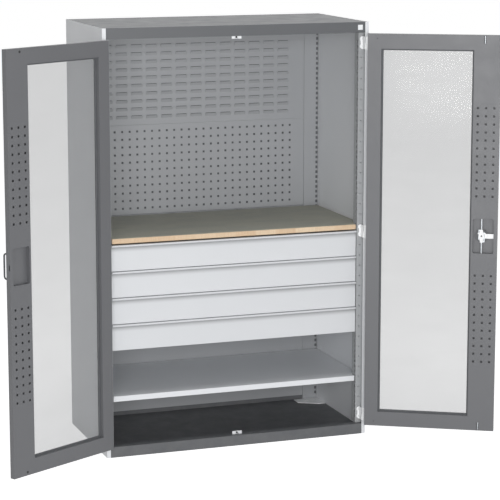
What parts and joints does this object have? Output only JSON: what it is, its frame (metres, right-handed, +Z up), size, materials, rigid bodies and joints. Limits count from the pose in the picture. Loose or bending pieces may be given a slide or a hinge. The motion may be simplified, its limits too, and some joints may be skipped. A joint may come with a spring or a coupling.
{
  "type": "tool cabinet",
  "caption": "Free-standing sheet-steel tool cabinet with windowed double doors, louvred and perforated back, wooden worktop, drawers and a shelf.",
  "frame": {"origin": "middle of the cabinet's footprint, on the ground", "axes": "+X to the right across the front, +Y from the front to the back, +Z up"},
  "size_m": [2.3678, 0.9998, 2],
  "materials": {
    "light_panel": "fine-textured light grey powder coat, outer panels",
    "dark_panel": "fine-textured mid grey powder coat, roof, base and doors",
    "post_paint": "fine-textured light grey powder coat, posts",
    "lining_paint": "fine-textured grey powder coat, back lining",
    "drawer_paint": "smooth light grey powder coat, drawers",
    "shelf_zinc": "zinc-plated shelf sheet, satin",
    "runner_zinc": "zinc-plated runner members",
    "bright_zinc": "bright zinc-plated hinges, rods and strikes",
    "worktop_wood": "beech multiplex, clear lacquer",
    "window_clear": "clear polycarbonate pane",
    "seal_rubber": "black rubber bead and buffers",
    "lock_plastic": "dark moulded handle and dish",
    "plate_plastic": "blank white plate",
    "screw_steel": "zinc-plated screws"
  },
  "bodies": {
    "cabinet": {"left_side_panel": "light_panel", "right_side_panel": "light_panel", "roof": "dark_panel", "base": "dark_panel", "rear_panel": "light_panel", "front_left_post": "post_paint", "front_right_post": "post_paint", "rear_left_post": "light_panel", "rear_right_post": "light_panel", "louvre_panel": "lining_paint", "perforated_panel": "lining_paint", "lower_back_panel": "lining_paint", "worktop": "worktop_wood", "worktop_rails": "shelf_zinc", "shelf": "shelf_zinc", "shelf_rails": "shelf_zinc", "corner_gussets": "post_paint", "door_strikes": "bright_zinc", "strike_buffers": "seal_rubber", "hinge_frame_leaves": "bright_zinc", "hinge_pins": "bright_zinc", "cabinet_screws": "screw_steel", "name_plate": "plate_plastic", "drawer_rails": "runner_zinc"},
    "left_door": {"left_door_skin": "dark_panel", "left_door_frame": "dark_panel", "left_door_window": "window_clear", "left_door_gasket": "seal_rubber", "left_door_hinges": "bright_zinc", "left_door_handle": "lock_plastic", "left_door_buffers": "seal_rubber"},
    "right_door": {"right_door_skin": "dark_panel", "right_door_frame": "dark_panel", "right_door_window": "window_clear", "right_door_gasket": "seal_rubber", "right_door_hinges": "bright_zinc", "right_door_plugs": "seal_rubber", "rod_guides": "runner_zinc", "lock_dish": "lock_plastic", "lock_case": "bright_zinc"},
    "lock_handle": {"lock_handle": "lock_plastic"},
    "lock_cylinder": {"lock_cylinder": "bright_zinc"},
    "upper_rod": {"upper_rod": "bright_zinc", "upper_rack": "bright_zinc"},
    "lower_rod": {"lower_rod": "bright_zinc", "lower_rack": "bright_zinc"},
    "side_bolt": {"side_bolt": "bright_zinc"},
    "drawer_1": {"drawer_1_front": "drawer_paint", "drawer_1_tray": "drawer_paint"},
    "drawer_1_slides": {"drawer_1_runners": "runner_zinc"},
    "drawer_2": {"drawer_2_front": "drawer_paint", "drawer_2_tray": "drawer_paint"},
    "drawer_2_slides": {"drawer_2_runners": "runner_zinc"},
    "drawer_3": {"drawer_3_front": "drawer_paint", "drawer_3_tray": "drawer_paint"},
    "drawer_3_slides": {"drawer_3_runners": "runner_zinc"},
    "drawer_4": {"drawer_4_front": "drawer_paint", "drawer_4_tray": "drawer_paint"},
    "drawer_4_slides": {"drawer_4_runners": "runner_zinc"}
  },
  "joints": [
    {"name": "left_door_hinge", "type": "hinge", "parent": "cabinet", "child": "left_door", "pos_m": [-0.636, -0.331, 1], "axis": [0, 0, -1], "range_deg": [-150, 30]},
    {"name": "right_door_hinge", "type": "hinge", "parent": "cabinet", "child": "right_door", "pos_m": [0.636, -0.331, 1], "axis": [0, 0, 1], "range_deg": [-150, 30]},
    {"name": "upper_rod_slide", "type": "slide", "parent": "right_door", "child": "upper_rod", "axis": [0, 0, 1], "range_m": [0, 0.01413]},
    {"name": "lock_handle_turn", "type": "hinge", "parent": "right_door", "child": "lock_handle", "pos_m": [1.11711, -0.6157, 1], "axis": [0.5, 0.866, 0], "range_deg": [0, 90]},
    {"name": "lower_rod_slide", "type": "slide", "parent": "right_door", "child": "lower_rod", "axis": [0, 0, -1], "range_m": [0, 0.0142]},
    {"name": "side_bolt_slide", "type": "slide", "parent": "right_door", "child": "side_bolt", "axis": [0.866, -0.5, 0], "range_m": [0, 0.0142]},
    {"name": "key_turn", "type": "hinge", "parent": "lock_handle", "child": "lock_cylinder", "pos_m": [1.11711, -0.6157, 1], "axis": [0.5, 0.866, 0], "range_deg": [0, 90]},
    {"name": "drawer_1_pull", "type": "slide", "parent": "cabinet", "child": "drawer_1", "axis": [0, -1, 0], "range_m": [0, 0.5]},
    {"name": "drawer_1_runner_slide", "type": "slide", "parent": "cabinet", "child": "drawer_1_slides", "axis": [0, -1, 0], "range_m": [0, 0.25]},
    {"name": "drawer_2_pull", "type": "slide", "parent": "cabinet", "child": "drawer_2", "axis": [0, -1, 0], "range_m": [0, 0.5]},
    {"name": "drawer_2_runner_slide", "type": "slide", "parent": "cabinet", "child": "drawer_2_slides", "axis": [0, -1, 0], "range_m": [0, 0.25]},
    {"name": "drawer_3_pull", "type": "slide", "parent": "cabinet", "child": "drawer_3", "axis": [0, -1, 0], "range_m": [0, 0.5]},
    {"name": "drawer_3_runner_slide", "type": "slide", "parent": "cabinet", "child": "drawer_3_slides", "axis": [0, -1, 0], "range_m": [0, 0.25]},
    {"name": "drawer_4_pull", "type": "slide", "parent": "cabinet", "child": "drawer_4", "axis": [0, -1, 0], "range_m": [0, 0.5]},
    {"name": "drawer_4_runner_slide", "type": "slide", "parent": "cabinet", "child": "drawer_4_slides", "axis": [0, -1, 0], "range_m": [0, 0.25]}
  ],
  "couplings": [
    {"joint": "lock_handle_turn", "follows": "upper_rod_slide", "rad_per_m": 111.11},
    {"joint": "lower_rod_slide", "follows": "upper_rod_slide", "ratio": 1},
    {"joint": "side_bolt_slide", "follows": "upper_rod_slide", "ratio": 1},
    {"joint": "drawer_1_runner_slide", "follows": "drawer_1_pull", "ratio": 0.5},
    {"joint": "drawer_2_runner_slide", "follows": "drawer_2_pull", "ratio": 0.5},
    {"joint": "drawer_3_runner_slide", "follows": "drawer_3_pull", "ratio": 0.5},
    {"joint": "drawer_4_runner_slide", "follows": "drawer_4_pull", "ratio": 0.5}
  ]
}
